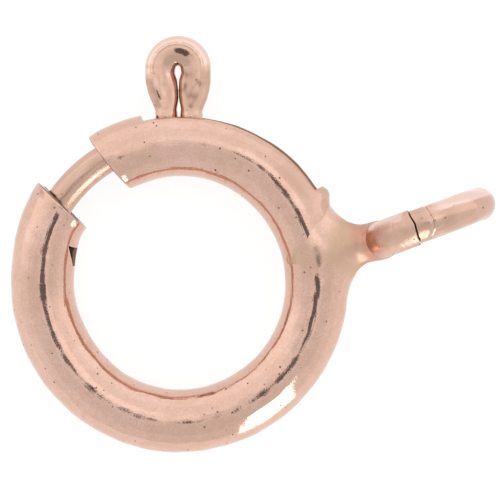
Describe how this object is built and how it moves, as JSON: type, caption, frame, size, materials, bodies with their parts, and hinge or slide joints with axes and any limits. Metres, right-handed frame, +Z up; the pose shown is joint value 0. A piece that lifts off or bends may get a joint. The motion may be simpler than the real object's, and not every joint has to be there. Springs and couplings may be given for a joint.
{
  "type": "spring ring clasp",
  "caption": "Rose gold spring ring clasp: an open tube ring whose sprung wire tongue is drawn back by a hairpin trigger, with an upright soldered eye.",
  "frame": {"origin": "centre of the ring, on the middle line of its tube", "axes": "+X along the clasp towards its eye, +Y towards the side of the trigger, +Z up from the surface that it lies on"},
  "size_m": [0.0086, 0.0074, 0.0024],
  "materials": {
    "rose_gold_tube": "polished rose gold, with soldered neck and eye",
    "rose_gold_wire": "polished rose gold wire, pressed flat at the trigger",
    "spring_wire": "drawn spring wire"
  },
  "bodies": {
    "case": {"case": "rose_gold_tube", "spring": "spring_wire"},
    "tongue": {"tongue": "rose_gold_wire"}
  },
  "joints": [
    {"name": "tongue_turn", "type": "hinge", "parent": "case", "child": "tongue", "pos_m": [0, 0, 0], "axis": [-0.0898, -0.0219, 0.9957], "range_deg": [-43, 0], "stiffness_Nm_per_rad": 0.004, "deforming": ["spring"]}
  ]
}
